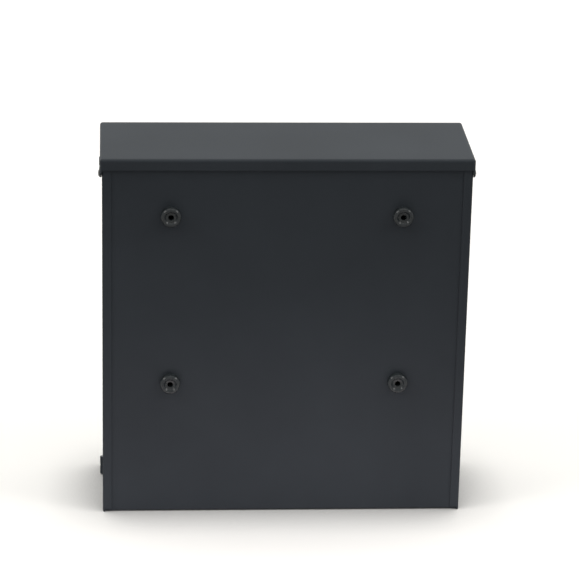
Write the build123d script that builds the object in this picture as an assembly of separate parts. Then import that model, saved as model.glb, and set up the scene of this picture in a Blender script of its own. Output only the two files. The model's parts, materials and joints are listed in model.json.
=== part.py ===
from build123d import *
import os

# Wall mounted mailbox of folded sheet steel: a box on four wall spacers, a lid that lifts on two side
# pivots, and a front door hung on two side hinges and held by a cam lock.
# Frame: +Z up, +Y towards the wall, +X towards the door's hinges, all sizes in millimetres.
# Origin: centre of the four wall screws, on the outer face of the back sheet.

# Overall
BODY_WIDTH = 366.0  # over the two side panels
BODY_DEPTH = 91.5  # back sheet's outer face to the front of the door jambs
TOTAL_HEIGHT = 380.0  # base to the top of the lid
SHEET = 1.0  # thickness of every folded panel
BEND = 1.0  # inside radius of every fold but the lid's

# Wall screws and spacers
SCREW_SPACING_X = 230.0
SCREW_SPACING_Z = 178.0
SCREW_CENTRE_HEIGHT = 231.5  # centre of the pattern above the base
SCREW_HOLE = 5.5  # diameter
SPACER_HEIGHT = 7.0  # back sheet's outer face to the wall
SPACER_BASE = 20.5  # diameter on the back sheet
SPACER_CREST = 15.0  # diameter of the crest that meets the wall
SPACER_RING = 0.8  # width of the flat ring on the crest
SPACER_BEVEL = 2.2  # on both sides of the crest
SPACER_FLOOR = 7.6  # diameter of the flat floor around the screw hole
SPACER_FLOOR_HEIGHT = 3.0
SPACER_NECK = 11.0  # diameter in the back sheet's hole

# Folds of the side panels, back sheet and front rail
REAR_FOLD = 9.0  # side panel's fold over the back sheet
BASE_FOLD = 10.0
TOP_FOLD = 10.0
JAMB = 12.0  # side panel's fold beside the door
CORNER_RELIEF = 2.5  # notch where two folds meet
BACK_TOP_FOLD = 11.0
SILL_HEIGHT = 14.0
RAIL_HEIGHT = 24.0
RAIL_FOLD = 10.0

# Lid
LID_HEADROOM = 4.5  # side panel's top fold to the underside of the lid
LID_SIDE_GAP = 1.0
LID_REAR_GAP = 0.6
LID_FRONT_GAP = 0.9  # lid's front skirt ahead of the door
LID_SKIRT = 21.0  # depth of the front and side skirts, from the lid's top
LID_REAR_SKIRT = 11.5
LID_BEND = 2.0  # inside radius of the lid's folds
PIVOT_FROM_REAR = 10.0  # pivot axis ahead of the lid's rear face
PIVOT_FROM_TOP = 17.0
PIVOT = 5.0  # diameter of the rivet's shank
PIVOT_HEAD = 8.0  # diameter
PIVOT_HEAD_HEIGHT = 1.6
PIVOT_TAIL = 8.0  # diameter of the upset end inside the side panel
PIVOT_TAIL_HEIGHT = 1.2
WASHER = 8.0  # diameter
BUFFER = 8.0  # diameter
BUFFER_TIP = 6.0  # diameter at its top
BUFFER_INSET = 60.0  # buffer's axis from the side panel's outer face

# Door and hinges
DOOR_DEPTH = 27.0
DOOR_GAP = 1.0  # door's rim ahead of the jambs
DOOR_TOP_GAP = 1.5  # below the lid's skirt
DOOR_BASE_GAP = 1.0
HINGE_PROUD = 3.0  # knuckles outside the side panel's outer face
HINGE_PIN = 3.0  # diameter
HINGE_LEAF = 1.0  # thickness of the hinge's sheet
HINGE_HEIGHT = 20.0
HINGE_LEAF_LENGTH = 10.0  # from the hinge axis
HINGE_TOP_GAP = 5.5  # upper hinge below the door's top edge
KNUCKLE_GAP = 0.3  # between the two knuckles of a hinge

# Lock
LOCK_INSET = 28.0  # axis from the door's free edge
LOCK_HEIGHT = 178.0  # axis above the door's bottom edge
LOCK_BARREL = 18.0  # diameter
LOCK_FLATS = 16.0  # across the barrel's two flats
LOCK_FLANGE = 24.0  # diameter
LOCK_FLANGE_HEIGHT = 2.0
LOCK_PLUG = 12.0  # diameter
LOCK_NUT = 24.0  # across flats
LOCK_NUT_HEIGHT = 4.0
KEYWAY_WIDTH = 1.6
KEYWAY_LENGTH = 8.0
KEYWAY_DEPTH = 8.0
CAM_GAP = 1.0  # cam behind the jamb
CAM_REACH = 24.0
CAM_WIDTH = 14.0
CAM = 2.0  # thickness
CAM_SQUARE = 7.0
CAM_CORNER = 3.0  # radius at the cam's tip
CAM_SCREW = 4.0  # diameter
CAM_SCREW_HEAD = 9.0
CAM_SCREW_HEAD_HEIGHT = 2.5
CAM_SCREW_DEPTH = 8.0

# Clearances
RUNNING = 0.05  # radial, where one piece turns on another
SEAT = 0.1  # between pieces that are slipped together
CLEAR = 0.5  # between a turning knuckle and the pocket around it

# Places that follow from the sizes
SIDE = BODY_WIDTH / 2
BASE = -SCREW_CENTRE_HEIGHT
TOP = BASE + TOTAL_HEIGHT
BODY_TOP = TOP - SHEET - LID_HEADROOM
JAMB_FRONT = -BODY_DEPTH
DOOR_RIM = JAMB_FRONT - DOOR_GAP
DOOR_FRONT = DOOR_RIM - DOOR_DEPTH
LID_REAR = 2 * SHEET + LID_REAR_GAP
LID_FRONT = DOOR_FRONT - LID_FRONT_GAP - SHEET
LID_SIDE = SIDE + LID_SIDE_GAP + SHEET
LID_EAR = LID_SKIRT - LID_REAR_SKIRT  # radius of the side skirt's rear corner
PIVOT_Y = LID_REAR - PIVOT_FROM_REAR
PIVOT_Z = TOP - PIVOT_FROM_TOP
SHEET_END = SIDE - SHEET - BEND  # end of the back sheet and rail, clear of the side panel's fold
RAIL_BOTTOM = BODY_TOP - SHEET - RAIL_HEIGHT
DOOR_BOTTOM = BASE + DOOR_BASE_GAP
DOOR_TOP = TOP - LID_SKIRT - DOOR_TOP_GAP
KNUCKLE = HINGE_PIN / 2 + HINGE_LEAF  # radius
HINGE_X = SIDE + HINGE_PROUD - KNUCKLE
HINGE_Y = JAMB_FRONT + SHEET + HINGE_LEAF - KNUCKLE  # sets the body leaf against the jamb's rear face
HINGE_FLOORS = {"lower": DOOR_BOTTOM, "upper": DOOR_TOP - HINGE_TOP_GAP - HINGE_HEIGHT}
KNUCKLE_HEIGHT = (HINGE_HEIGHT - KNUCKLE_GAP) / 2
DOOR_EDGE = HINGE_X - HINGE_PIN / 2 + SHEET  # door's hinge side, outside of the door leaf
LOCK_X = -SIDE + LOCK_INSET
LOCK_Z = DOOR_BOTTOM + LOCK_HEIGHT
CAM_FRONT = JAMB_FRONT + SHEET + CAM_GAP
ALONG_X = Rot(0, 90, 0)  # turns a Z axis to +X
ALONG_Y = Rot(-90, 0, 0)  # turns a Z axis to +Y


def inset(span, by=SHEET):
    """A (low, high) span drawn in at both ends."""
    return span[0] + by, span[1] - by


def block(x, y, z):
    """Box between two planes on each axis, given as (low, high) spans."""
    centre = [(low + high) / 2 for low, high in (x, y, z)]
    size = [high - low for low, high in (x, y, z)]
    return Pos(*centre) * Box(*size)


def rod(diameter, length):
    """Cylinder on the Z axis, standing on the XY plane."""
    return Cylinder(diameter / 2, length, align=(Align.CENTER, Align.CENTER, Align.MIN))


def turned(*outline):
    """Solid turned about Z from a closed outline of (radius, height) points."""
    return revolve(Plane.XZ * make_face(Polyline(*outline, close=True)), Axis.Z)


def sleeve(x, y, z):
    """Sheet folded four times around the X direction into a rectangular sleeve."""
    outer = block(x, y, z)
    inner = block(x, inset(y), inset(z))
    return fillet(outer.edges().filter_by(Axis.X), BEND + SHEET) - fillet(
        inner.edges().filter_by(Axis.X), BEND
    )


def tray(x, y, z, axis, end, bend=BEND):
    """Sheet folded into a tray: a plate at one end of an axis, 0 low or -1 high, and four walls from it."""
    outer = block(x, y, z)
    hollow = [inset(x), inset(y), inset(z)]
    along = (Axis.X, Axis.Y, Axis.Z).index(axis)
    low, high = hollow[along]
    hollow[along] = (low, high + 2 * SHEET) if end == 0 else (low - 2 * SHEET, high)
    inner = block(*hollow)
    plate_edges = outer.faces().sort_by(axis)[end].edges()
    inner_edges = inner.faces().sort_by(axis)[end].edges()
    return fillet(plate_edges, bend + SHEET) - fillet(inner_edges, bend)


def hinge_pocket(floor, y):
    """Room for both knuckles of a hinge, through the side panel's or the door's edge."""
    room = KNUCKLE + CLEAR
    open_end = BASE - SHEET if floor == DOOR_BOTTOM else floor - CLEAR
    return block((HINGE_X - room, SIDE + SHEET), y, (open_end, floor + HINGE_HEIGHT + CLEAR))


def side_panel():
    """Side panel on the hinge side, before its hinge pockets: plate, rear fold, base, top and jamb."""
    x = (SIDE - max(REAR_FOLD, BASE_FOLD, TOP_FOLD, JAMB), SIDE)
    y = (JAMB_FRONT, SHEET)
    z = (BASE, BODY_TOP)
    panel = tray(x, y, z, Axis.X, -1)
    beyond = x[0] - SHEET
    panel -= block((beyond, SIDE - REAR_FOLD), (y[1] - SHEET, y[1] + SHEET), inset(z, -SHEET))
    panel -= block((beyond, SIDE - JAMB), (y[0] - SHEET, y[0] + SHEET), inset(z, -SHEET))
    panel -= block((beyond, SIDE - BASE_FOLD), inset(y, -SHEET), (z[0] - SHEET, z[0] + SHEET))
    panel -= block((beyond, SIDE - TOP_FOLD), inset(y, -SHEET), (z[1] - SHEET, z[1] + SHEET))
    relief = CORNER_RELIEF + SHEET
    for corner_y in y:
        for corner_z in z:
            notch = block(
                (beyond, SIDE - SHEET - BEND),
                (corner_y - relief, corner_y + relief),
                (corner_z - relief, corner_z + relief),
            )
            panel -= notch
    pivot_hole = Pos(SIDE - 2 * SHEET, PIVOT_Y, PIVOT_Z) * ALONG_X * rod(PIVOT, 4 * SHEET)
    return panel - pivot_hole


def hinge_side_panel():
    """Side panel with a pocket for each hinge."""
    panel = side_panel()
    for floor in HINGE_FLOORS.values():
        panel -= hinge_pocket(floor, (JAMB_FRONT - SHEET, HINGE_Y + KNUCKLE + CLEAR))
    return panel


def back_sheet():
    """Back, floor, sill and top fold in one sheet, with holes for the wall spacers."""
    x = (-SHEET_END, SHEET_END)
    y = (JAMB_FRONT + SHEET, 0)
    z = (BASE + SHEET, BODY_TOP - SHEET)
    sheet = sleeve(x, y, z)
    sill_top = z[0] + SILL_HEIGHT
    sheet -= block(inset(x, -SHEET), (y[0] - SHEET, -BACK_TOP_FOLD), (sill_top, z[1] + SHEET))
    leaf_end = HINGE_X - HINGE_LEAF_LENGTH - CLEAR
    leaf_depth = y[0] + HINGE_LEAF + CLEAR
    sheet -= block((leaf_end, SIDE), (y[0] - SHEET, leaf_depth), (BASE, sill_top + SHEET))
    for place in screw_places():
        sheet -= place * Pos(0, -2 * SHEET, 0) * ALONG_Y * rod(SPACER_NECK, 4 * SHEET)
    return sheet


def front_rail():
    """Channel above the door, open to the rear, behind the two jambs."""
    x = (-SHEET_END, SHEET_END)
    y = (JAMB_FRONT + SHEET, JAMB_FRONT + SHEET + RAIL_FOLD)
    z = (RAIL_BOTTOM, BODY_TOP - SHEET)
    closed = sleeve(x, (y[0], y[1] + 2 * (SHEET + BEND)), z)
    return closed - block(inset(x, -SHEET), (y[1], y[1] + 4 * (SHEET + BEND)), inset(z, -SHEET))


def screw_places():
    """The four wall screws, upper pair first, hinge side first in each pair."""
    x = SCREW_SPACING_X / 2
    z = SCREW_SPACING_Z / 2
    return [Pos(x, 0, z), Pos(-x, 0, z), Pos(x, 0, -z), Pos(-x, 0, -z)]


def wall_spacer():
    """Moulded ring with a bevelled crest and a dished middle, seated in the back sheet by its neck."""
    hole = SCREW_HOLE / 2
    neck = SPACER_NECK / 2
    crest_out = (SPACER_CREST + SPACER_RING) / 2
    crest_in = (SPACER_CREST - SPACER_RING) / 2
    return turned(
        (hole, -SHEET),
        (neck, -SHEET),
        (neck, 0),
        (SPACER_BASE / 2, 0),
        (crest_out + SPACER_BEVEL, SPACER_HEIGHT - SPACER_BEVEL),
        (crest_out, SPACER_HEIGHT),
        (crest_in, SPACER_HEIGHT),
        (crest_in - SPACER_BEVEL, SPACER_HEIGHT - SPACER_BEVEL),
        (SPACER_FLOOR / 2, SPACER_FLOOR_HEIGHT),
        (hole, SPACER_FLOOR_HEIGHT),
    )


def lid():
    """Flat lid with a skirt all round, shorter at the rear, and round ears at the pivots."""
    x = (-LID_SIDE, LID_SIDE)
    y = (LID_FRONT, LID_REAR)
    z = (TOP - LID_SKIRT, TOP)
    cover = tray(x, y, z, Axis.Z, -1, LID_BEND)
    rear_edge = TOP - LID_REAR_SKIRT
    under = (z[0] - SHEET, rear_edge)
    cover -= block(inset(x), (LID_REAR - 2 * SHEET, LID_REAR + SHEET), under)
    ear_y = LID_REAR - LID_EAR
    through = 2 * (LID_SIDE + SHEET)
    corner = block(inset(x, -SHEET), (ear_y, LID_REAR + SHEET), under)
    across = Pos(-through / 2, 0, 0) * ALONG_X
    cover -= corner - Pos(0, ear_y, rear_edge) * across * rod(2 * LID_EAR, through)
    return cover - Pos(0, PIVOT_Y, PIVOT_Z) * across * rod(PIVOT + 2 * RUNNING, through)


def pivot_rivet():
    """Rivet on the hinge side: low domed head outside the lid's skirt, upset tail inside the side panel."""
    shank = PIVOT / 2
    inner_face = SIDE - SHEET
    tail_end = inner_face - PIVOT_TAIL_HEIGHT
    head_seat = LID_SIDE + SEAT
    edge = (PIVOT_HEAD / 2, head_seat)
    crown = (0, head_seat + PIVOT_HEAD_HEIGHT)
    side = Polyline(
        crown,
        (0, tail_end),
        (PIVOT_TAIL / 2, tail_end),
        (PIVOT_TAIL / 2, inner_face),
        (shank, inner_face),
        (shank, head_seat),
        edge,
    )
    dome_radius = (edge[0] ** 2 + PIVOT_HEAD_HEIGHT**2) / (2 * PIVOT_HEAD_HEIGHT)
    dome = RadiusArc(edge, crown, -dome_radius)
    rivet = revolve(Plane.XZ * make_face(side + dome), Axis.Z)
    return Pos(0, PIVOT_Y, PIVOT_Z) * ALONG_X * rivet


def pivot_washer():
    """Washer on the rivet, between the side panel and the lid's skirt."""
    thickness = LID_SIDE_GAP - 2 * SEAT
    ring = rod(WASHER, thickness) - rod(PIVOT + 2 * RUNNING, thickness)
    return Pos(SIDE + SEAT, PIVOT_Y, PIVOT_Z) * ALONG_X * ring


def lid_buffer():
    """Soft stop on the front rail's top fold, just under the lid."""
    height = LID_HEADROOM + SHEET - 2 * SEAT
    stop = turned((0, 0), (BUFFER / 2, 0), (BUFFER_TIP / 2, height), (0, height))
    return Pos(SIDE - BUFFER_INSET, JAMB_FRONT + SHEET + RAIL_FOLD / 2 + BEND, BODY_TOP - SHEET) * stop


def door():
    """Front door: a tray with its plate to the front, hinge pockets on one side and the lock's hole."""
    panel = tray((-SIDE, DOOR_EDGE), (DOOR_FRONT, DOOR_RIM), (DOOR_BOTTOM, DOOR_TOP), Axis.Y, 0)
    for floor in HINGE_FLOORS.values():
        panel -= hinge_pocket(floor, (HINGE_Y - KNUCKLE - CLEAR, DOOR_RIM + SHEET))
    return panel - lock_barrel(DOOR_FRONT - SHEET, DOOR_FRONT + 2 * SHEET, SEAT)


def knuckle(floor, bore):
    """Rolled barrel of a hinge leaf, and the bore for its pin."""
    place = Pos(HINGE_X, HINGE_Y, floor)
    return place * rod(2 * KNUCKLE, KNUCKLE_HEIGHT), place * rod(bore, KNUCKLE_HEIGHT)


def body_hinge_leaf(floor):
    """Lower half of a hinge: its leaf lies behind the jamb."""
    barrel, bore = knuckle(floor, HINGE_PIN)
    rear = JAMB_FRONT + SHEET
    leaf = block(
        (HINGE_X - HINGE_LEAF_LENGTH, HINGE_X),
        (rear, rear + HINGE_LEAF),
        (floor, floor + KNUCKLE_HEIGHT),
    )
    return barrel + leaf - bore


def door_hinge_leaf(floor):
    """Upper half of a hinge: its leaf lies inside the door's side wall."""
    start = floor + HINGE_HEIGHT - KNUCKLE_HEIGHT
    barrel, bore = knuckle(start, HINGE_PIN + 2 * RUNNING)
    inner_face = DOOR_EDGE - SHEET
    leaf = block(
        (inner_face - HINGE_LEAF, inner_face),
        (HINGE_Y - HINGE_LEAF_LENGTH, HINGE_Y),
        (start, start + KNUCKLE_HEIGHT),
    )
    return barrel + leaf - bore


def hinge_pin(floor):
    """Pin fixed in the body's knuckle, on which the door's knuckle turns."""
    return Pos(HINGE_X, HINGE_Y, floor) * rod(HINGE_PIN, HINGE_HEIGHT)


def lock_barrel(start, end, gap):
    """Round barrel with two flats along Y, widened by a gap all round."""
    size = LOCK_BARREL / 2 + gap
    flats = block((-LOCK_FLATS / 2 - gap, LOCK_FLATS / 2 + gap), (start, end), (-size, size))
    barrel = Pos(0, start, 0) * ALONG_Y * rod(2 * size, end - start)
    return Pos(LOCK_X, 0, LOCK_Z) * (barrel & flats)


def lock_housing():
    """Flange on the door's face and barrel through it, bored for the plug."""
    rear = CAM_FRONT - SEAT
    front = DOOR_FRONT - LOCK_FLANGE_HEIGHT
    place = Pos(LOCK_X, front, LOCK_Z) * ALONG_Y
    bevel = LOCK_FLANGE_HEIGHT / 2
    flange = turned(
        (0, 0),
        (LOCK_FLANGE / 2 - bevel, 0),
        (LOCK_FLANGE / 2, bevel),
        (LOCK_FLANGE / 2, LOCK_FLANGE_HEIGHT),
        (0, LOCK_FLANGE_HEIGHT),
    )
    bore = rod(LOCK_PLUG + 2 * RUNNING, rear - front)
    return place * flange + lock_barrel(DOOR_FRONT, rear, 0) - place * bore


def lock_nut():
    """Hexagon nut that draws the housing against the door."""
    hexagon = RegularPolygon(LOCK_NUT / 2, 6, major_radius=False)
    nut = extrude(hexagon, LOCK_NUT_HEIGHT) - rod(LOCK_BARREL + 2 * RUNNING, LOCK_NUT_HEIGHT)
    return Pos(LOCK_X, DOOR_FRONT + SHEET, LOCK_Z) * ALONG_Y * nut


def lock_plug():
    """Plug with its keyway in front and a square for the cam behind."""
    front = DOOR_FRONT - LOCK_FLANGE_HEIGHT + SEAT
    length = CAM_FRONT - front
    plug = rod(LOCK_PLUG, length)
    plug += Pos(0, 0, length + CAM / 2) * Box(CAM_SQUARE, CAM_SQUARE, CAM)
    plug -= Pos(0, 0, KEYWAY_DEPTH / 2) * Box(KEYWAY_WIDTH, KEYWAY_LENGTH, KEYWAY_DEPTH)
    plug -= Pos(0, 0, length + CAM - CAM_SCREW_DEPTH) * rod(CAM_SCREW, CAM_SCREW_DEPTH)
    return Pos(LOCK_X, front, LOCK_Z) * ALONG_Y * plug


def lock_cam():
    """Flat cam on the plug's square, hanging down when the lock is open."""
    arm = block((-CAM_WIDTH / 2, CAM_WIDTH / 2), (0, CAM), (-CAM_REACH, 0))
    tip = arm.edges().filter_by(Axis.Y).group_by(Axis.Z)[0]
    hub = ALONG_Y * rod(CAM_WIDTH, CAM)
    square = CAM_SQUARE + 2 * SEAT
    cam = fillet(tip, CAM_CORNER) + hub - Pos(0, CAM / 2, 0) * Box(square, 2 * CAM, square)
    return Pos(LOCK_X, CAM_FRONT, LOCK_Z) * cam


def cam_screw():
    """Screw that holds the cam on the plug."""
    shank = CAM_SCREW_DEPTH
    screw = rod(CAM_SCREW, shank) + Pos(0, 0, shank) * rod(CAM_SCREW_HEAD, CAM_SCREW_HEAD_HEIGHT)
    return Pos(LOCK_X, CAM_FRONT + CAM - shank, LOCK_Z) * ALONG_Y * screw


def pair(piece):
    """A piece on the hinge side and its mirror image on the lock side."""
    return Compound(children=[piece, mirror(piece, Plane.YZ)])


def pieces():
    """Every piece of the mailbox by its node's name."""
    made = {
        "back_sheet": back_sheet(),
        "side_panel_hinge_side": hinge_side_panel(),
        "side_panel_lock_side": mirror(side_panel(), Plane.YZ),
        "front_rail": front_rail(),
        "wall_spacers": Compound(children=[place * ALONG_Y * wall_spacer() for place in screw_places()]),
        "lid": lid(),
        "lid_pivot_rivets": pair(pivot_rivet()),
        "lid_pivot_washers": pair(pivot_washer()),
        "lid_buffers": pair(lid_buffer()),
        "door": door(),
        "lock_housing": lock_housing(),
        "lock_nut": lock_nut(),
        "lock_plug": lock_plug(),
        "lock_cam": lock_cam(),
        "cam_screw": cam_screw(),
    }
    for level, floor in HINGE_FLOORS.items():
        made[f"body_hinge_leaf_{level}"] = body_hinge_leaf(floor)
        made[f"door_hinge_leaf_{level}"] = door_hinge_leaf(floor)
        made[f"hinge_pin_{level}"] = hinge_pin(floor)
    return made


os.makedirs("parts", exist_ok=True)
for node, piece in pieces().items():
    export_step(piece, f"parts/{node}.step")
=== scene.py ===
# %% [markdown]
# # A wall mounted mailbox in folded steel
# The mailbox is a box of thin sheet, painted with anthracite powder, and it is seen from behind: a flat back
# with four spacers around its wall screws, and a lid whose skirt hangs over the box. The solid model already
# has every piece at its real size, so this lesson only dresses it. We load that model first and keep its
# box.

# %% Load the solid model
import bmesh
import bpy
import json
import math
import numpy as np
from mathutils import Matrix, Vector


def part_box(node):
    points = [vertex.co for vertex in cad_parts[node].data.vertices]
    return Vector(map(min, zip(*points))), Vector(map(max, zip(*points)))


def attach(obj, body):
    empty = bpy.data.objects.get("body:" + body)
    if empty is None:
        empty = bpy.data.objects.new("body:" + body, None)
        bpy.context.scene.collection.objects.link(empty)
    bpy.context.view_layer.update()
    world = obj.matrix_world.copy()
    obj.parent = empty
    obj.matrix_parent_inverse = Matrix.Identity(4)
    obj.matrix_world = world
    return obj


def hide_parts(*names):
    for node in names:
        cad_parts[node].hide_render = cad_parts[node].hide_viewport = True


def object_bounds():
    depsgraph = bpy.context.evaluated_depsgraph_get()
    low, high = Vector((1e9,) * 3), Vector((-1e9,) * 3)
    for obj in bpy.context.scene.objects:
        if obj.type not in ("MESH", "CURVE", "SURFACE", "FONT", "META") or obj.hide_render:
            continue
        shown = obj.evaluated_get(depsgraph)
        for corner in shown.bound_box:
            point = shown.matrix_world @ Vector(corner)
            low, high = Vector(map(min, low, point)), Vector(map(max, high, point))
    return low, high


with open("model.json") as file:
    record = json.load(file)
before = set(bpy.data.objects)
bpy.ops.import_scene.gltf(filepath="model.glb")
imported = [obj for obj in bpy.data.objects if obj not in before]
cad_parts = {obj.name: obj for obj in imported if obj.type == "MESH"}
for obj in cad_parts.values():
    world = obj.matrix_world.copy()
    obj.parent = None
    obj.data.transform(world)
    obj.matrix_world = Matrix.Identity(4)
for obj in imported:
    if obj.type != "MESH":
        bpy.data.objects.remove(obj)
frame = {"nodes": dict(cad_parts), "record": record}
nodes = frame["nodes"]
solid_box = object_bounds()
MM = 0.001
print("solid model, mm:", [round((high - low) / MM, 1) for low, high in zip(*solid_box)])

# %% [markdown]
# Every new piece below is a surface worked out as a whole grid of points: one direction of the grid runs
# along an outline, the other carries that outline along a path or around an axis. Three helpers turn such
# grids into a Blender mesh. The first only numbers the corners of the quads, the second closes the seams
# where grids meet, and the third writes the arrays into a mesh, shades it smooth and lets it ride on the
# body that carries it. Blender's own primitives would be quicker, but they have no folds or rolled eyes.

# %% From a grid of points to a piece
CREASE = math.radians(38)
SEAM = 0.002 * MM


def quads(rows, columns, closed_rows=False, closed_columns=False):
    """Corner numbers of the quads of a grid: each point with its next neighbours along both directions."""
    row = np.arange(rows if closed_rows else rows - 1)
    column = np.arange(columns if closed_columns else columns - 1)
    row, column = np.meshgrid(row, column, indexing="ij")
    below, right = (row + 1) % rows, (column + 1) % columns
    corners = [
        row * columns + column, below * columns + column,
        below * columns + right, row * columns + right,
    ]
    return np.stack(corners, axis=-1).reshape(-1, 4)


def close_seams(mesh):
    """Merges the doubled points where grids meet, drops faces with no area and makes the normals agree."""
    shell = bmesh.new()
    shell.from_mesh(mesh)
    bmesh.ops.remove_doubles(shell, verts=shell.verts, dist=SEAM)
    bmesh.ops.dissolve_degenerate(shell, edges=shell.edges, dist=SEAM)
    bmesh.ops.recalc_face_normals(shell, faces=shell.faces)
    shell.to_mesh(mesh)
    shell.free()


def piece_from(name, parts, material, body, slot, *stands_for):
    """Joins (points, faces) parts into one mesh that rides on a body and may stand for solid nodes."""
    counts = np.cumsum([0] + [points.reshape(-1, 3).shape[0] for points, _ in parts])
    points = np.concatenate([points.reshape(-1, 3) for points, _ in parts])
    faces = np.concatenate([corners + start for (_, corners), start in zip(parts, counts)])
    mesh = bpy.data.meshes.new(name)
    mesh.from_pydata(points.tolist(), [], faces.tolist())
    close_seams(mesh)
    mesh.shade_smooth()
    mesh.set_sharp_from_angle(angle=CREASE)
    mesh.materials.append(material)
    piece = bpy.data.objects.new(name, mesh)
    bpy.context.scene.collection.objects.link(piece)
    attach(piece, body)
    if stands_for:
        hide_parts(*stands_for)
    print(f"{name}: {len(mesh.vertices)} points, {len(mesh.polygons)} faces")
    return piece


print("a grid of 3 by 4 points has", len(quads(3, 4)), "quads")

# %% [markdown]
# The paint is a powder that melts into a film, and the film keeps the skin of an orange: soft waves about
# two millimetres across, with a finer grain on top. An image of such a skin could be laid on, but a large
# sheet would show where it repeats, so ours is made of noise. Each painted, moulded or plated piece needs it
# with its own values, so the skin is one node group. It takes five values and puts out a shade that wavers
# around 1, a roughness and a height.

# %% Sockets of the skin
SKIN_INPUTS = ("Mottle", "Wave Scale", "Grain Scale", "Roughness", "Spread")
SKIN_OUTPUTS = ("Shade", "Roughness", "Height")

SKIN = bpy.data.node_groups.new("surface_skin", "ShaderNodeTree")
for label in SKIN_INPUTS:
    SKIN.interface.new_socket(label, in_out="INPUT", socket_type="NodeSocketFloat")
for label in SKIN_OUTPUTS:
    SKIN.interface.new_socket(label, in_out="OUTPUT", socket_type="NodeSocketFloat")
print("skin takes", ", ".join(SKIN_INPUTS), "and puts out", ", ".join(SKIN_OUTPUTS))

# %% [markdown]
# Inside the group, three fields of noise do the work: a broad one, waves and a fine grain. Generated
# coordinates would stretch the noise to the box of each piece. Object coordinates are metres here, so a
# field's scale is about the number of its waves in a metre. A socket is fed by a number or by another node,
# and a helper sees to both, here and further down.

# %% Noise of the skin
BROAD_SCALE, BROAD_DETAIL = 9.0, 3.0
FINE_DETAIL = 2.0


def feed(tree, socket, value):
    """Sets a socket to a number, or joins the output of another node to it."""
    if isinstance(value, float):
        socket.default_value = value
    else:
        tree.links.new(value, socket)


def noise(place, scale, detail):
    """Field of noise at a place; detail is how many finer layers it has."""
    field = SKIN.nodes.new("ShaderNodeTexNoise")
    field.inputs["Detail"].default_value = detail
    feed(SKIN, field.inputs["Vector"], place)
    feed(SKIN, field.inputs["Scale"], scale)
    return field.outputs["Fac"]


given = SKIN.nodes.new("NodeGroupInput").outputs
place = SKIN.nodes.new("ShaderNodeTexCoord").outputs["Object"]
broad = noise(place, BROAD_SCALE, BROAD_DETAIL)
waves = noise(place, given["Wave Scale"], FINE_DETAIL)
grain = noise(place, given["Grain Scale"], FINE_DETAIL)
print("noise of the skin:", len(SKIN.nodes), "nodes")

# %% [markdown]
# Noise keeps mostly to the middle of its range, so that middle is spread to the range that an output needs.
# A Color Ramp could do it, but its stops can't be fed by the group's inputs. The shade goes a little below
# and above 1 with the broad noise and with the grain, the roughness wavers with the grain, and the height is
# the waves plus a share of the grain.

# %% Outputs of the skin
NOISE_LOW, NOISE_HIGH = 0.3, 0.7
GRAIN_SHARE = 0.35


def math_node(tree, kind, first, second):
    """Output of a Math node that works on two numbers or outputs."""
    node = tree.nodes.new("ShaderNodeMath")
    node.operation = kind
    feed(tree, node.inputs[0], first)
    feed(tree, node.inputs[1], second)
    return node.outputs[0]


def ranged(value, low, high):
    """Noise spread so that its middle, from NOISE_LOW to NOISE_HIGH, goes from low to high."""
    spread = SKIN.nodes.new("ShaderNodeMapRange")
    bounds = {"From Min": NOISE_LOW, "From Max": NOISE_HIGH, "To Min": low, "To Max": high}
    feed(SKIN, spread.inputs["Value"], value)
    for label, bound in bounds.items():
        feed(SKIN, spread.inputs[label], bound)
    return spread.outputs["Result"]


put_out = SKIN.nodes.new("NodeGroupOutput").inputs
darker = math_node(SKIN, "SUBTRACT", 1.0, given["Mottle"])
lighter = math_node(SKIN, "ADD", 1.0, given["Mottle"])
mottled, grained = ranged(broad, darker, lighter), ranged(grain, darker, lighter)
feed(SKIN, put_out["Shade"], math_node(SKIN, "MULTIPLY", mottled, grained))
smoother = math_node(SKIN, "SUBTRACT", given["Roughness"], given["Spread"])
rougher = math_node(SKIN, "ADD", given["Roughness"], given["Spread"])
feed(SKIN, put_out["Roughness"], ranged(grain, smoother, rougher))
fine = math_node(SKIN, "MULTIPLY", grain, GRAIN_SHARE)
feed(SKIN, put_out["Height"], math_node(SKIN, "ADD", waves, fine))
print("skin group:", len(SKIN.nodes), "nodes")

# %% [markdown]
# A finish is then a Principled shader fed by one copy of the skin. What is the same all over the surface,
# such as how metallic it is, is set on the shader's own sockets. What wavers comes from the group: the shade
# multiplies the colour, and the height drives a bump of a few hundredths of a millimetre at most. A shader
# alone would be quicker, but it gives one flat colour, which no painted or plated sheet has.

# %% A finish
GRAIN_SCALE = 2600.0


def finish(name, colour, roughness, metallic=0.0, specular=0.5, mottle=0.06, wave=480.0, spread=0.06,
           depth=0.02):
    """Principled material whose colour, roughness and bump come from the skin.

    wave is the number of waves in a metre, depth the height of the bump in millimetres.
    """
    material = bpy.data.materials.new(name)
    material.use_nodes = True
    make, join = material.node_tree.nodes.new, material.node_tree.links.new
    shader = material.node_tree.nodes["Principled BSDF"]
    shader.inputs["Metallic"].default_value = metallic
    shader.inputs["Specular IOR Level"].default_value = specular
    skin = make("ShaderNodeGroup")
    skin.node_tree = SKIN
    for label, value in zip(SKIN_INPUTS, (mottle, wave, GRAIN_SCALE, roughness, spread)):
        skin.inputs[label].default_value = value
    tint = make("ShaderNodeMix")
    tint.data_type, tint.blend_type = "RGBA", "MULTIPLY"
    tint.inputs["Factor"].default_value = 1.0
    tint.inputs["A"].default_value = (*colour, 1.0)
    join(skin.outputs["Shade"], tint.inputs["B"])
    join(tint.outputs["Result"], shader.inputs["Base Color"])
    join(skin.outputs["Roughness"], shader.inputs["Roughness"])
    bump = make("ShaderNodeBump")
    bump.inputs["Distance"].default_value = depth * MM
    join(skin.outputs["Height"], bump.inputs["Height"])
    join(bump.outputs["Normal"], shader.inputs["Normal"])
    return material


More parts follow.
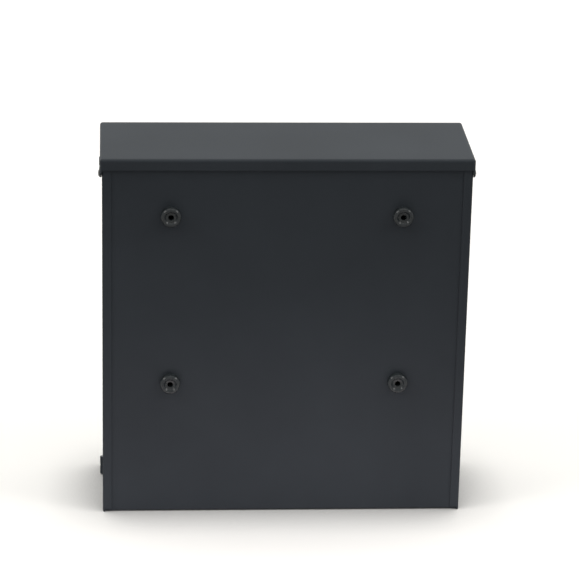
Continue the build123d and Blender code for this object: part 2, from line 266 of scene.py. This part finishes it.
COAT = finish("anthracite_powder", colour=(0.0400, 0.0470, 0.0558), roughness=0.5, specular=0.1,
              mottle=0.08, depth=0.06)
print("the coat has", len(COAT.node_tree.nodes), "nodes")

# %% [markdown]
# The other finishes are six calls more: a smooth moulded plastic for the spacers, blackened steel for the
# rivets, nylon washers, rubber buffers, and zinc and satin nickel on the metal parts. One material with a
# colour for each piece would be shorter, but rubber and nickel differ in more than colour. The solid nodes
# take the finish of the material slot that the record gives them.

# %% The other finishes
MOULDED = finish("moulded_spacer", colour=(0.031, 0.037, 0.041), roughness=0.14, specular=0.22,
                 wave=160.0, spread=0.03, depth=0.004)
BLACKENED = finish("blackened_rivet", colour=(0.022, 0.024, 0.026), roughness=0.38, depth=0.01)
NYLON = finish("natural_nylon", colour=(0.55, 0.55, 0.50), roughness=0.5, wave=300.0)
RUBBER = finish("soft_rubber", colour=(0.018, 0.018, 0.018), roughness=0.75, wave=700.0)
ZINC = finish("zinc_plate", colour=(0.44, 0.45, 0.46), roughness=0.34, metallic=1.0,
              mottle=0.14, wave=220.0, depth=0.006)
NICKEL = finish("satin_nickel", colour=(0.50, 0.49, 0.47), roughness=0.28, metallic=1.0,
                mottle=0.04, wave=300.0, depth=0.003)
FINISH_OF = {
    "powder_coat": COAT, "spacer_plastic": MOULDED, "dark_steel": BLACKENED, "nylon": NYLON,
    "buffer_rubber": RUBBER, "zinc_steel": ZINC, "lock_chrome": NICKEL,
}
for subpart in frame["record"]["subparts"]:
    solid = nodes[subpart["node"]]
    solid.data.materials.clear()
    solid.data.materials.append(FINISH_OF[subpart["material_slot"]])
print("finishes:", ", ".join(material.name for material in FINISH_OF.values()))

# %% [markdown]
# The lid is one sheet: a flat top, folded down all round into a skirt, shorter at the rear, and closed at
# its corners. A cube with bevelled edges would do from afar, but its corners would not roll like folded
# sheet. So an outline runs round the top, and at each corner it turns on the spot, which makes a round
# corner by itself. This cell has that outline: feet on the flat top, and the heading in which the fold
# leaves each of them.

# %% Outline of the lid
SHEET = 1.0 * MM
FOLD = 3.0 * MM
REAR_SKIRT = 11.5 * MM
LID_LOW, LID_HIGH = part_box("lid")
EAR = LID_HIGH.z - LID_LOW.z - REAR_SKIRT
EAR_MIDDLE = LID_HIGH.y - EAR
ACROSS_STATIONS = 49
ALONG_STATIONS = 16
EAR_STATIONS = 12
CORNER_STEPS = 10


def lid_stations():
    """Stations along X, even, and along Y: even up to the ears, then by equal angles round their circle."""
    across = np.linspace(LID_LOW.x + FOLD, LID_HIGH.x - FOLD, ACROSS_STATIONS)
    ahead = np.linspace(LID_LOW.y + FOLD, EAR_MIDDLE, ALONG_STATIONS)[:-1]
    turn = np.linspace(0.0, math.asin((EAR - FOLD) / EAR), EAR_STATIONS)
    return across, np.concatenate([ahead, EAR_MIDDLE + EAR * np.sin(turn)])


def lid_outline(across, along):
    """Feet and headings round the top: on a side the heading stays, at a corner it turns by 90 degrees."""
    turn = np.linspace(0.0, math.pi / 2, CORNER_STEPS + 1)
    left, right, front, rear = across[0], across[-1], along[0], along[-1]
    sides = [
        (np.full_like(along, right), along), (across[::-1], np.full_like(across, rear)),
        (np.full_like(along, left), along[::-1]), (across, np.full_like(across, front)),
    ]
    feet, headings = [], []
    for quarter, (x, y) in enumerate(sides):
        feet += [np.stack([x, y], axis=1), np.repeat([[x[-1], y[-1]]], CORNER_STEPS - 1, axis=0)]
        headings += [np.full(len(x), quarter * math.pi / 2), quarter * math.pi / 2 + turn[1:-1]]
    return np.concatenate(feet), np.concatenate(headings)


print("the lid's ears hang", round(EAR / MM, 1), "mm below its rear skirt")

# %% [markdown]
# The outline carries the fold's quarter circle and the skirt below it. The skirt's depth depends only on how
# far to the rear a point lies: full depth along the sides, then a round ear down to the rear edge. The inner
# face could be worked out as a second grid, but a Solidify modifier gives the sheet its thickness with one
# number, and a small bevel takes the sharpness off its cut edge.

# %% Lid
FOLD_STEPS = 8
SKIRT_STEPS = 6
CUT_EDGE = 0.2 * MM
CUT_EDGE_ANGLE = math.radians(50)
CUT_EDGE_STEPS = 2


def lid_sheet():
    """Outer face of the lid: a flat top, a quarter circle of radius FOLD off the outline, then the skirt.

    The skirt goes down to REAR_SKIRT plus the ear's height there: the square root of EAR squared less d
    squared, with d the distance to the rear of the ear's middle, and 0 ahead of it.
    """
    across, along = lid_stations()
    feet, headings = lid_outline(across, along)
    away = np.stack([np.cos(headings), np.sin(headings)], axis=1)
    angle = np.linspace(math.pi / 2, 0.0, FOLD_STEPS + 1)[:, None]
    behind = np.clip(feet[:, 1] + FOLD * away[:, 1] - EAR_MIDDLE, 0.0, EAR)
    depth = REAR_SKIRT + np.sqrt(EAR ** 2 - behind ** 2)
    fall = np.linspace(0.0, 1.0, SKIRT_STEPS + 1)[1:, None]
    reach = np.concatenate([FOLD * np.cos(angle), np.full_like(fall, FOLD)])
    rounded = np.repeat(LID_HIGH.z - FOLD + FOLD * np.sin(angle), len(feet), axis=1)
    level = np.concatenate([rounded, LID_HIGH.z - FOLD - fall * (depth - FOLD)])
    plan = feet + reach[:, :, None] * away
    skirt = np.concatenate([plan, level[:, :, None]], axis=2)
    x, y = np.meshgrid(across, along, indexing="ij")
    top = np.stack([x, y, np.full_like(x, LID_HIGH.z)], axis=2)
    return [(skirt, quads(*skirt.shape[:2], closed_columns=True)), (top, quads(*top.shape[:2]))]


lid = piece_from("lid_folded", lid_sheet(), COAT, "lid", "powder_coat", "lid")
wall = lid.modifiers.new("sheet", "SOLIDIFY")
wall.thickness, wall.offset = SHEET, -1.0
bevel = lid.modifiers.new("soft_edge", "BEVEL")
bevel.limit_method, bevel.angle_limit = "ANGLE", CUT_EDGE_ANGLE
bevel.width, bevel.segments = CUT_EDGE, CUT_EDGE_STEPS

# %% [markdown]
# Round pieces come from one recipe: an outline of radius and height, turned about an axis. Blender's Screw
# modifier could turn it too, but here the axis can point anywhere while the object stays at the origin. So
# the same recipe makes the spacers that point to the wall, the rivets that lie across and the buffers that
# stand up. Curves in the outline are arcs of ellipses.

# %% Turning an outline
TURNS = 64
SMALL_TURNS = 40
ROUND_STEPS = 4


def bow(centre, radii, start, end, steps=ROUND_STEPS):
    """Arc of an ellipse in the outline's plane: centre plus radii times cosine and sine, in degrees."""
    angle = np.radians(np.linspace(start, end, steps + 1))
    return np.stack([centre[0] + radii[0] * np.cos(angle), centre[1] + radii[1] * np.sin(angle)], axis=1)


def line(*points):
    """Straight runs of the outline through the points."""
    return np.array(points, dtype=float)


def turned(outline, place, axis, closed=False, turns=TURNS):
    """Each outline point circles the axis: place plus height along it plus radius times cosine and sine."""
    axis = np.array(axis, dtype=float)
    upright = abs(axis[2]) > 0.5
    side = np.cross(axis, [1.0, 0.0, 0.0] if upright else [0.0, 0.0, 1.0])
    side /= np.linalg.norm(side)
    angle = np.linspace(0.0, 2 * math.pi, turns, endpoint=False)
    spokes = np.cos(angle)[:, None] * side + np.sin(angle)[:, None] * np.cross(axis, side)
    radius, height = outline[:, 0, None, None], outline[:, 1, None, None]
    points = np.array(place) + height * axis + radius * spokes
    return points, quads(len(outline), turns, closed_rows=closed, closed_columns=True)


print("round pieces take", TURNS, "steps to the turn, small ones", SMALL_TURNS)

# %% [markdown]
# The four spacers keep the box off the wall. Each is a moulded ring: a steep wall, a short cone up to a flat
# land that meets the wall, a second cone down to the flat floor of a dish, a screw hole and a neck that
# sits in the back. A torus would be quicker, but its rounds squeeze a lamp into a thin line all round. Here
# the land and the dish's floor lie flat like the sheet, and the two cones catch the lamps as highlights.

# %% Wall spacers
SPACER_BASE = 20.5 * MM / 2
SPACER_RIM = 20.0 * MM / 2
LAND_OUTER, LAND_INNER = 17.0 * MM / 2, 14.2 * MM / 2
DISH_FLOOR = 10.4 * MM / 2
SPACER_NECK = 11.0 * MM / 2
SCREW_HOLE = 5.5 * MM / 2
EDGE_ROUND = 0.4 * MM
LIP = 0.4 * MM
WALL_DRAFT = 3
OUTER_CONE = 46
DISH_CONE = 47


def spacer_outline(height):
    """Closed outline: neck, base, wall, cone, flat land, cone, flat floor of the dish, screw hole.

    Arcs of EDGE_ROUND join them. Each cone leaves the land's arc along its tangent and goes on until it
    meets the rim's arc or the radius of the dish's floor.
    """
    small = (EDGE_ROUND, EDGE_ROUND)
    outer = bow((LAND_OUTER, height - EDGE_ROUND), small, 90 - OUTER_CONE, 90)
    inner = bow((LAND_INNER, height - EDGE_ROUND), small, 90, 90 + DISH_CONE)
    rim = bow((SPACER_RIM - EDGE_ROUND, 0.0), small, WALL_DRAFT, 90 - OUTER_CONE)
    fall = (rim[-1, 0] - outer[0, 0]) * math.tan(math.radians(OUTER_CONE))
    rim[:, 1] += outer[0, 1] - fall - rim[-1, 1]
    bottom = inner[-1, 1] - (inner[-1, 0] - DISH_FLOOR) * math.tan(math.radians(DISH_CONE))
    return np.concatenate([
        line((SCREW_HOLE, -SHEET), (SPACER_NECK, -SHEET), (SPACER_NECK, 0.0)),
        line((SPACER_BASE, 0.0), (SPACER_BASE, LIP)),
        rim, outer, inner, line((DISH_FLOOR, bottom)),
        bow((SCREW_HOLE + LIP, bottom - LIP), (LIP, LIP), 90, 180),
    ])


low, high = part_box("wall_spacers")
spacers = [
    turned(spacer_outline(high.y), (x, 0.0, z), (0, 1, 0), closed=True)
    for x in (low.x + SPACER_BASE, high.x - SPACER_BASE)
    for z in (low.z + SPACER_BASE, high.z - SPACER_BASE)
]
piece_from("wall_spacer_rings", spacers, MOULDED, "body", "spacer_plastic", "wall_spacers")

# %% [markdown]
# The lid swings on two rivets. Outside they show a low dome, inside the end is upset into a flat button. A
# squashed sphere would do for the dome alone, but one outline along the rivet's axis, from the button to the
# top of the dome, gives the shank and both ends in one closed piece.

# %% Pivot rivets
RIVET_HEAD = 8.0 * MM / 2
RIVET_SHANK = 5.0 * MM / 2
RIVET_BUTTON = 1.2 * MM
RIVET_SEAT = 0.1 * MM
DOME_STEPS = 12


def rivet_outline(inner_face, seat, crown):
    """Button with a rounded edge, shank, then a dome that is a quarter of an ellipse."""
    end = inner_face - RIVET_BUTTON
    return np.concatenate([
        line((0.0, end)),
        bow((RIVET_HEAD - LIP, end + LIP), (LIP, LIP), -90, 0),
        line((RIVET_HEAD, inner_face), (RIVET_SHANK, inner_face), (RIVET_SHANK, seat)),
        bow((0.0, seat), (RIVET_HEAD, crown - seat), 0, 90, DOME_STEPS),
    ])


low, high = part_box("lid_pivot_rivets")
pivot = ((low.y + high.y) / 2, (low.z + high.z) / 2)
panel_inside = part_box("side_panel_hinge_side")[1].x - SHEET
along_rivet = rivet_outline(panel_inside, LID_HIGH.x + RIVET_SEAT, high.x)
rivets = [turned(along_rivet, (0.0, *pivot), (side, 0, 0), turns=SMALL_TURNS) for side in (1, -1)]
piece_from("pivot_rivets_domed", rivets, BLACKENED, "body", "dark_steel", "lid_pivot_rivets")

# %% [markdown]
# Two soft rubber buffers on the front rail stop the lid from clattering. They are small cones with a rounded
# tip. A cone with a bevel would come close, but one bevel rounds foot and tip alike, so an outline gives the
# foot a small round and the tip a large one.

# %% Lid buffers
BUFFER_FOOT = 8.0 * MM / 2
BUFFER_TIP = 6.0 * MM / 2
TIP_ROUND = 1.2 * MM
TIP_START = 10
TIP_STEPS = 8


def buffer_outline(height):
    """Foot with a small rounded edge, then a straight flank up to the tip's arc, which ends level."""
    tip = (BUFFER_TIP - TIP_ROUND, height - TIP_ROUND)
    return np.concatenate([
        line((0.0, 0.0)),
        bow((BUFFER_FOOT - LIP, LIP), (LIP, LIP), -90, 0),
        bow(tip, (TIP_ROUND, TIP_ROUND), TIP_START, 90, TIP_STEPS),
        line((0.0, height)),
    ])


low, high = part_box("lid_buffers")
buffers = [
    turned(buffer_outline(high.z - low.z), (x, (low.y + high.y) / 2, low.z), (0, 0, 1), turns=SMALL_TURNS)
    for x in (low.x + BUFFER_FOOT, high.x - BUFFER_FOOT)
]
piece_from("lid_buffers_rounded", buffers, RUBBER, "body", "buffer_rubber", "lid_buffers")

# %% [markdown]
# The door hangs on two hinges of rolled strip: each leaf is a flat tongue whose end is curled round the pin.
# The middle of the strip is a path, straight along the leaf and then most of a circle, and the strip's
# thickness is laid off to both sides of it. That shows the open slit of a rolled eye, which a plain tube
# lacks. Paint gathers on the edges, so the strip's outer edges are well rounded, and two eyes on one pin
# read as lobes.

# %% Rolled strip
STRIP = 1.0 * MM
PIN = 3.0 * MM / 2
CURL = math.radians(318)
EDGE_IN, EDGE_ALONG = 0.75 * MM, 1.3 * MM
EDGE_STATIONS = 6
LEAF_STATIONS = 6
CURL_STATIONS = 40


def strip_section(bottom, top):
    """Offsets and levels round the strip: square inside, quarter ellipses on the two outer edges."""
    turn = np.linspace(0.0, math.pi / 2, EDGE_STATIONS)
    offset = STRIP / 2 - EDGE_IN * (1 - np.sin(turn))
    level = EDGE_ALONG * (1 - np.cos(turn))
    offsets = np.concatenate([[-STRIP / 2], offset, offset[::-1], [-STRIP / 2]])
    levels = np.concatenate([[bottom], bottom + level, top - level[::-1], [top]])
    return offsets, levels


def rolled_leaf(axis, start, heading, bottom, top):
    """Strip along a path: straight to the eye, then round the axis by CURL, clockwise from above.

    A point is a path point plus the section's offset square to the path, at the section's level.
    """
    tangent = np.array([math.cos(heading), math.sin(heading)])
    outward = np.array([-tangent[1], tangent[0]])
    length = np.dot(np.array(axis) - np.array(start), tangent)
    run = np.linspace(0.0, length, LEAF_STATIONS)[:-1, None]
    turn = np.linspace(0.0, CURL, CURL_STATIONS)[:, None]
    spoke = np.cos(turn) * outward + np.sin(turn) * tangent
    path = np.concatenate([np.array(start) + run * tangent, np.array(axis) + (PIN + STRIP / 2) * spoke])
    aside = np.concatenate([np.repeat(outward[None], len(run), axis=0), spoke])
    offsets, levels = strip_section(bottom, top)
    plan = path + offsets[:, None, None] * aside
    height = np.broadcast_to(levels[:, None, None], plan.shape[:2] + (1,))
    points = np.concatenate([plan, height], axis=2)
    rows, columns = points.shape[:2]
    step = np.arange(rows // 2 - 1)
    cap = np.stack([step, step + 1, rows - 2 - step, rows - 1 - step], axis=1) * columns
    return points, np.concatenate([quads(rows, columns, closed_rows=True), cap, cap + columns - 1])


print("rolled eyes leave a slit of", round(360 - math.degrees(CURL)), "degrees")

# %% [markdown]
# Each hinge has two such leaves on one pin. The body's leaf lies behind the fold beside the door and runs
# sideways to the eye, the door's leaf lies inside the door's side wall and comes from the front. A turned
# copy of one could serve as the other, but this way the places of pin and leaves are read from the solids.

# %% Hinge leaves
for level in ("lower", "upper"):
    low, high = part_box(f"hinge_pin_{level}")
    eye = ((low.x + high.x) / 2, (low.y + high.y) / 2)
    low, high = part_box(f"body_hinge_leaf_{level}")
    parts = [rolled_leaf(eye, (low.x, eye[1] + PIN + STRIP / 2), 0.0, low.z, high.z)]
    piece_from(f"body_leaf_{level}_rolled", parts, COAT, "body", "powder_coat", f"body_hinge_leaf_{level}")
    low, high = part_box(f"door_hinge_leaf_{level}")
    parts = [rolled_leaf(eye, (eye[0] - PIN - STRIP / 2, low.y), math.pi / 2, low.z, high.z)]
    piece_from(f"door_leaf_{level}_rolled", parts, COAT, "door", "powder_coat", f"door_hinge_leaf_{level}")

# %% [markdown]
# The lock's housing is turned from a bar and plated: a flange with a rounded rim and a shallow dish around
# the plug, and behind the door a barrel with two flats that keep it from turning. The flats could be cut
# with a Boolean modifier, but its cutter would be one more object in the scene. Here the outline is turned
# first, and the barrel's points are then drawn in to the flats.

# %% Lock housing
FLANGE = 24.0 * MM / 2
FLANGE_RIM = 1.0 * MM
RIM_STEPS = 8
BARREL = 18.0 * MM / 2
BARREL_ROWS = 3
FLATS = 16.0 * MM / 2
BORE = 12.1 * MM / 2
DISH = 0.5 * MM
DISH_WIDTH = 2.2 * MM
DISH_STEPS = 6
HOUSING_TURNS = 96


def housing_part(low, high, door_face):
    """Turned outline, whose last rows are the barrel: there X is held within FLATS of the axis."""
    flange = door_face - low.y
    length = high.y - low.y
    outline = np.concatenate([
        line((BORE, length), (BORE, DISH + LIP / 2)),
        bow((BORE + DISH_WIDTH, DISH), (DISH_WIDTH, DISH), 180, 90, DISH_STEPS),
        bow((FLANGE - FLANGE_RIM, FLANGE_RIM), (FLANGE_RIM, FLANGE_RIM), -90, 0, RIM_STEPS),
        line((FLANGE, flange), (BARREL, flange), (BARREL, length - LIP), (BARREL - LIP, length)),
    ])
    middle = (low.x + high.x) / 2
    place = (middle, low.y, (low.z + high.z) / 2)
    points, faces = turned(outline, place, (0, 1, 0), closed=True, turns=HOUSING_TURNS)
    barrel = points[-BARREL_ROWS:]
    barrel[..., 0] = middle + np.clip(barrel[..., 0] - middle, -FLATS, FLATS)
    return points, faces


low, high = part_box("lock_housing")
housing = [housing_part(low, high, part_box("door")[0].y)]
piece_from("lock_housing_turned", housing, NICKEL, "door", "lock_chrome", "lock_housing")

# %% [markdown]
# The mailbox stands on a white sweep: a matt white that takes the soft shadow. Light Path tells which rays
# see it, from the camera or by way of metal or glass, and to them it is white all over. For the light that
# it throws back on the box it is no endless plane: its white fades out like the edge of a table top, so that
# it sends less light up. A floor of that size would do the same, but its edge would show.

# %% White of the floor
FLOOR_WHITE = 0.90
TABLE_NEAR, TABLE_FAR = 0.20, 0.60
BEYOND = 0.05


def shown_mask(tree):
    """1 for rays that show the background: from the camera, or by way of metal or glass."""
    path = tree.nodes.new("ShaderNodeLightPath")
    seen = path.outputs["Is Camera Ray"]
    for label in ("Is Glossy Ray", "Is Transmission Ray"):
        seen = math_node(tree, "MAXIMUM", seen, path.outputs[label])
    return seen


def table_white(tree, seen):
    """FLOOR_WHITE where it is seen; else it falls to BEYOND with the distance from the origin, smoothly."""
    place, length = tree.nodes.new("ShaderNodeTexCoord"), tree.nodes.new("ShaderNodeVectorMath")
    length.operation = "LENGTH"
    feed(tree, length.inputs[0], place.outputs["Object"])
    ramp = tree.nodes.new("ShaderNodeMapRange")
    ramp.interpolation_type = "SMOOTHSTEP"
    feed(tree, ramp.inputs["Value"], length.outputs["Value"])
    bounds = {"From Min": TABLE_NEAR, "From Max": TABLE_FAR, "To Min": FLOOR_WHITE, "To Max": BEYOND}
    for label, bound in bounds.items():
        feed(tree, ramp.inputs[label], bound)
    white = tree.nodes.new("ShaderNodeMix")
    feed(tree, white.inputs["Factor"], seen)
    feed(tree, white.inputs["A"], ramp.outputs[0])
    feed(tree, white.inputs["B"], FLOOR_WHITE)
    return white.outputs["Result"]


SWEEP = bpy.data.materials.new("white_sweep")
SWEEP.use_nodes = True
SWEEP.node_tree.nodes.clear()
floor_seen = shown_mask(SWEEP.node_tree)
floor_white = table_white(SWEEP.node_tree, floor_seen)
print("white of the floor:", len(SWEEP.node_tree.nodes), "nodes")

# %% [markdown]
# More light would make the floor whiter, but would bleach the box too, so the floor glows a little where it
# is seen. There an ambient occlusion term also paints a contact shade into that white and glow, darker
# close to the box. A dark patch painted on the floor could do that too, but it would not follow the door
# when it opens; this painted shade is worked out from the shapes around it.

# %% Glow and painted contact shade of the floor
FLOOR_GLOW = 0.22
PAINTED_SHADE_DISTANCE = 0.065
PAINTED_SHADE_POWER = 0.75
PAINTED_SHADE_SAMPLES = 4


def floor_surface(tree, seen, white):
    """Matt white and a glow where it is seen; there both are multiplied by a painted contact shade, the
    ambient occlusion to a power.
    """
    make, join = tree.nodes.new, tree.links.new
    # Painted contact shade: ambient occlusion to a power darkens the seen white and glow close to the box.
    near = make("ShaderNodeAmbientOcclusion")
    near.samples = PAINTED_SHADE_SAMPLES
    near.inputs["Distance"].default_value = PAINTED_SHADE_DISTANCE
    power = math_node(tree, "MULTIPLY", seen, PAINTED_SHADE_POWER)
    painted_contact_shade = math_node(tree, "POWER", near.outputs["AO"], power)
    shown_glow = math_node(tree, "MULTIPLY", seen, FLOOR_GLOW)
    matt, glow, both = make("ShaderNodeBsdfDiffuse"), make("ShaderNodeEmission"), make("ShaderNodeAddShader")
    join(math_node(tree, "MULTIPLY", white, painted_contact_shade), matt.inputs["Color"])
    join(math_node(tree, "MULTIPLY", shown_glow, painted_contact_shade), glow.inputs["Strength"])
    join(matt.outputs[0], both.inputs[0])
    join(glow.outputs[0], both.inputs[1])
    join(both.outputs[0], make("ShaderNodeOutputMaterial").inputs["Surface"])


floor_surface(SWEEP.node_tree, floor_seen, floor_white)
print("floor material:", len(SWEEP.node_tree.nodes), "nodes")

# %% [markdown]
# The floor itself is one large square at the level of the box's base. A curved backdrop would also do, but
# past the floor's edge the room is white anyway, so a flat square is enough.

# %% Floor
FLOOR_SIZE = 20.0

floor_level = solid_box[0].z
half = FLOOR_SIZE / 2
floor_points = np.array([
    [-half, -half, floor_level], [half, -half, floor_level],
    [half, half, floor_level], [-half, half, floor_level],
])
floor_mesh = bpy.data.meshes.new("floor")
floor_mesh.from_pydata(floor_points.tolist(), [], [(0, 1, 2, 3)])
floor_mesh.materials.append(SWEEP)
floor = bpy.data.objects.new("floor", floor_mesh)
bpy.context.scene.collection.objects.link(floor)
print("floor at", round(floor_level / MM, 1), "mm")

# %% [markdown]
# The light is that of a small studio. A tent of white cloth is brightest, and a little warm, overhead and
# beyond the box, and dim and slightly cool on the camera's side, so that the back stays darker than the lid.
# An image of a studio could light the box too, but a ramp over the direction has only a few numbers to set.
# To the camera, and in reflections, the room is plain white.

# %% Tent
TENT_BRIGHT = (0.705, 0.691, 0.648)
TENT_DIM = (0.215, 0.217, 0.222)
TENT_TILT = (0.0, -0.40, 0.92)
TENT_EDGE = -0.15


def tent():
    """World: white where seen; its light goes from dim to bright with the dot product with TENT_TILT."""
    world = bpy.data.worlds.new("tent")
    world.use_nodes = True
    tree = world.node_tree
    tree.nodes.clear()
    make, join = tree.nodes.new, tree.links.new
    direction, along = make("ShaderNodeTexCoord"), make("ShaderNodeVectorMath")
    along.operation = "DOT_PRODUCT"
    along.inputs[1].default_value = TENT_TILT
    join(direction.outputs["Generated"], along.inputs[0])
    ramp = make("ShaderNodeMapRange")
    ramp.inputs["From Min"].default_value = TENT_EDGE
    join(along.outputs["Value"], ramp.inputs["Value"])
    shade = make("ShaderNodeMix")
    shade.data_type = "RGBA"
    shade.inputs["A"].default_value, shade.inputs["B"].default_value = (*TENT_DIM, 1.0), (*TENT_BRIGHT, 1.0)
    join(ramp.outputs[0], shade.inputs["Factor"])
    cloth, white = make("ShaderNodeBackground"), make("ShaderNodeBackground")
    white.inputs["Color"].default_value = (1.0, 1.0, 1.0, 1.0)
    join(shade.outputs["Result"], cloth.inputs["Color"])
    choose = make("ShaderNodeMixShader")
    join(shown_mask(tree), choose.inputs["Fac"])
    join(cloth.outputs[0], choose.inputs[1])
    join(white.outputs[0], choose.inputs[2])
    join(choose.outputs[0], make("ShaderNodeOutputWorld").inputs["Surface"])
    return world


bpy.context.scene.world = tent()
bpy.context.scene.view_settings.view_transform = "Standard"
print("tent from", TENT_DIM, "to", TENT_BRIGHT)

# %% [markdown]
# Two wide lamps stand above and beyond the box, and two narrower ones at its left and right draw the small
# highlights on the spacers. Area lamps nearby would light the floor in patches, so these four are suns,
# whose light is the same everywhere. Only the last lamp is near: a low, slightly rosy strip that faces the
# back and lifts its lower half.

# %% Lamps
TOP_LAMP = {"strength": 0.55, "tint": (1.0, 0.965, 0.895), "width": 45, "height": 76}
SIDE_LAMP = {"strength": 0.46, "tint": (1.0, 0.985, 0.96), "width": 20, "height": 35}
TOP_TURN, SIDE_TURN = 105, 70
LOW_STRIP_POWER = 0.21
LOW_STRIP_TINT = (1.0, 0.84, 0.88)
LOW_STRIP_SIZE = (0.9, 0.04)
LOW_STRIP_PLACE = (0.0, 0.20, -0.20)


def lamp(name, turn, strength, tint, width, height):
    """Sun of an angular width, at a height over the horizon and a turn about Z from +Y, in degrees."""
    data = bpy.data.lights.new(name, "SUN")
    data.energy, data.angle, data.color = strength, math.radians(width), tint
    light = bpy.data.objects.new(name, data)
    light.rotation_euler = (math.radians(90 - height), 0.0, math.radians(turn + 180))
    bpy.context.scene.collection.objects.link(light)


def low_strip():
    """Low strip of light that faces the back of the box and doesn't show to the camera."""
    data = bpy.data.lights.new("low_strip", "AREA")
    data.shape, data.energy, data.color = "RECTANGLE", LOW_STRIP_POWER, LOW_STRIP_TINT
    data.size, data.size_y = LOW_STRIP_SIZE
    light = bpy.data.objects.new("low_strip", data)
    light.location = LOW_STRIP_PLACE
    light.rotation_euler = (math.radians(-90), 0.0, 0.0)
    light.visible_camera = False
    bpy.context.scene.collection.objects.link(light)


lamp("top_left_lamp", -TOP_TURN, **TOP_LAMP)
lamp("top_right_lamp", TOP_TURN, **TOP_LAMP)
lamp("left_lamp", -SIDE_TURN, **SIDE_LAMP)
lamp("right_lamp", SIDE_TURN, **SIDE_LAMP)
low_strip()
print("lamps:", ", ".join(light.name for light in bpy.data.lights))

# %% [markdown]
# The camera stands behind the box, a little to the side of the door's hinges, and looks down on it with a
# long lens. It could be aimed with a Track To constraint, but that leaves no room for a slight roll. So its
# place is worked out from the point that it looks at, its distance and three angles.

# %% Camera
CAMERA_AIM = np.array([-4.3, -2.8, 9.8]) * MM
CAMERA_DISTANCE = 2.85
CAMERA_AZIMUTH = math.radians(176.121)
CAMERA_ELEVATION = math.radians(20.831)
CAMERA_ROLL = math.radians(-1.252)
SENSOR = 36.0
LENS = 177.02


def camera_axes(azimuth, elevation, roll):
    """Right, up and back of the camera: back from two angles, then right and up turned about it by roll."""
    level = math.cos(elevation)
    back = np.array([math.sin(azimuth) * level, -math.cos(azimuth) * level, math.sin(elevation)])
    right = np.cross([0.0, 0.0, 1.0], back)
    right /= np.linalg.norm(right)
    up = np.cross(back, right)
    turned_right = math.cos(roll) * right - math.sin(roll) * up
    turned_up = math.sin(roll) * right + math.cos(roll) * up
    return turned_right, turned_up, back


camera_data = bpy.data.cameras.new("camera")
camera_data.sensor_width, camera_data.lens = SENSOR, LENS
camera = bpy.data.objects.new("camera", camera_data)
bpy.context.scene.collection.objects.link(camera)
bpy.context.scene.camera = camera
axes = camera_axes(CAMERA_AZIMUTH, CAMERA_ELEVATION, CAMERA_ROLL)
stand = np.eye(4)
stand[:3, :3] = np.stack(axes, axis=1)
stand[:3, 3] = CAMERA_AIM + axes[2] * CAMERA_DISTANCE
camera.matrix_world = Matrix(stand.tolist())
print("camera at", np.round(stand[:3, 3], 3))
